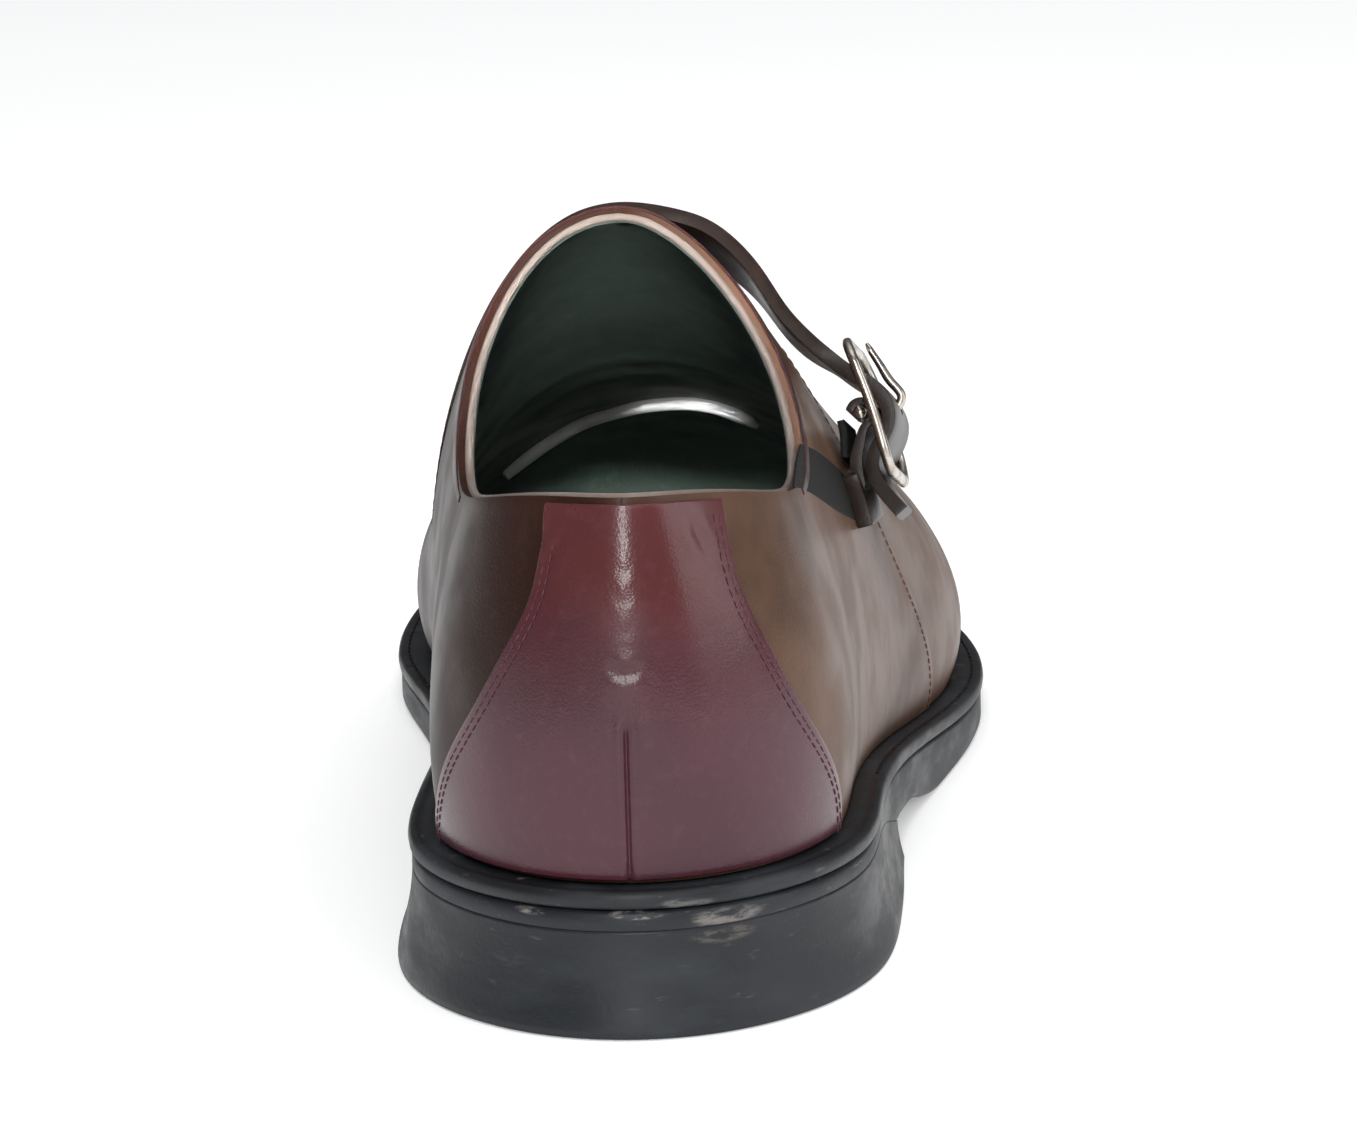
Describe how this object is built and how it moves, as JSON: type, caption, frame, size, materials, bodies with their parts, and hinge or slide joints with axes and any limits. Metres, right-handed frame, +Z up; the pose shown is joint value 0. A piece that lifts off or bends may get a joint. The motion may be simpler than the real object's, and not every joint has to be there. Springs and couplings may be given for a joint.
{
  "type": "monk strap shoe",
  "caption": "Low leather monk strap shoe for a right foot, with a centre-bar buckle, a proud heel counter and a welted rubber sole and heel.",
  "frame": {"origin": "on the floor, under the middle of the heel seat, on the heel's tread", "axes": "+Y to the toe, +X to the outer side of the foot, +Z up"},
  "size_m": [0.1069, 0.3008, 0.1058],
  "materials": {
    "sole_rubber": "moulded rubber, scuffed satin",
    "welt_rubber": "smooth, worn glossy at the rim",
    "lining_leather": "matt, very dark green",
    "upper_leather": "polished box calf, brown",
    "counter_leather": "polished box calf, burgundy",
    "strap_leather": "polished, dark brown",
    "elastic": "woven elastic, black",
    "buckle_metal": "satin, slightly warm nickel"
  },
  "bodies": {
    "root": {"outsole": "sole_rubber", "heel": "sole_rubber", "welt": "welt_rubber", "insole": "lining_leather", "upper": "upper_leather", "heel_counter": "counter_leather", "strap": "strap_leather", "buckle_tab": "strap_leather", "buckle_elastic": "elastic", "buckle_frame": "buckle_metal", "buckle_bar": "buckle_metal", "buckle_prong": "buckle_metal"}
  },
  "joints": []
}
